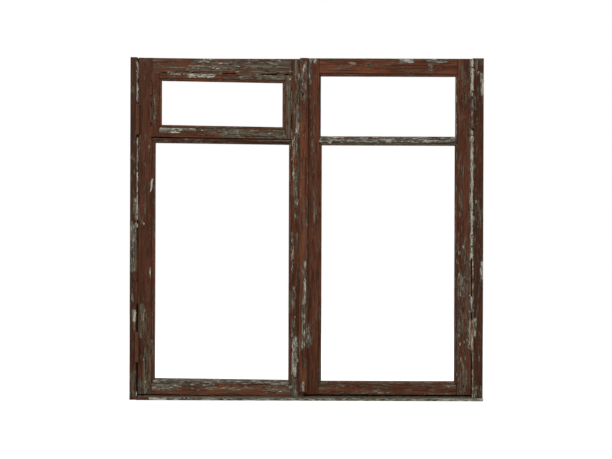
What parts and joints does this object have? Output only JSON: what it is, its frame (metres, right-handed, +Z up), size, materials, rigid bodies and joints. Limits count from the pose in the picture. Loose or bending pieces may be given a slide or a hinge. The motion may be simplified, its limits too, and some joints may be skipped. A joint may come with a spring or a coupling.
{
  "type": "wooden window",
  "caption": "Old two-leaf wooden casement window in a box frame, with a small vent sash in the left leaf, a glazing bar in the right one, a cover strip and butt hinges; no glass.",
  "frame": {"origin": "middle of the sill's flat underside, halfway through the frame's depth", "axes": "+X to the right as seen from outdoors, +Z up, -Y towards the outdoors"},
  "size_m": [1.22, 0.108, 1.183],
  "materials": {
    "painted_wood": "weathered red-brown oxide paint, flaking",
    "bare_wood": "bare weathered wood with remains of paint",
    "painted_iron": "painted over with the same red-brown paint, rusting"
  },
  "bodies": {
    "root": {"bead_left_main_bottom": "painted_wood", "bead_left_main_left": "painted_wood", "bead_left_main_right": "painted_wood", "bead_left_main_top": "painted_wood", "bead_right_lower_bottom": "painted_wood", "bead_right_lower_left": "painted_wood", "bead_right_lower_right": "painted_wood", "bead_right_lower_top": "painted_wood", "bead_right_upper_bottom": "painted_wood", "bead_right_upper_left": "painted_wood", "bead_right_upper_right": "painted_wood", "bead_right_upper_top": "painted_wood", "bead_vent_bottom": "painted_wood", "bead_vent_left": "painted_wood", "bead_vent_right": "painted_wood", "bead_vent_top": "painted_wood", "cover_strip": "painted_wood", "frame_head": "painted_wood", "frame_left_jamb": "painted_wood", "frame_right_jamb": "painted_wood", "frame_sill": "bare_wood", "hinge_left_lower": "painted_iron", "hinge_left_upper": "painted_iron", "hinge_right_lower": "painted_iron", "hinge_right_upper": "painted_iron", "hinge_vent_lower": "painted_iron", "hinge_vent_upper": "painted_iron", "left_leaf_bottom_rail": "painted_wood", "left_leaf_hinge_stile": "painted_wood", "left_leaf_meeting_stile": "painted_wood", "left_leaf_top_rail": "painted_wood", "left_leaf_transom": "painted_wood", "right_leaf_bottom_rail": "painted_wood", "right_leaf_glazing_bar": "painted_wood", "right_leaf_hinge_stile": "painted_wood", "right_leaf_meeting_stile": "painted_wood", "right_leaf_top_rail": "painted_wood", "vent_bottom_rail": "painted_wood", "vent_left_stile": "painted_wood", "vent_right_stile": "painted_wood", "vent_top_rail": "painted_wood"}
  },
  "joints": []
}
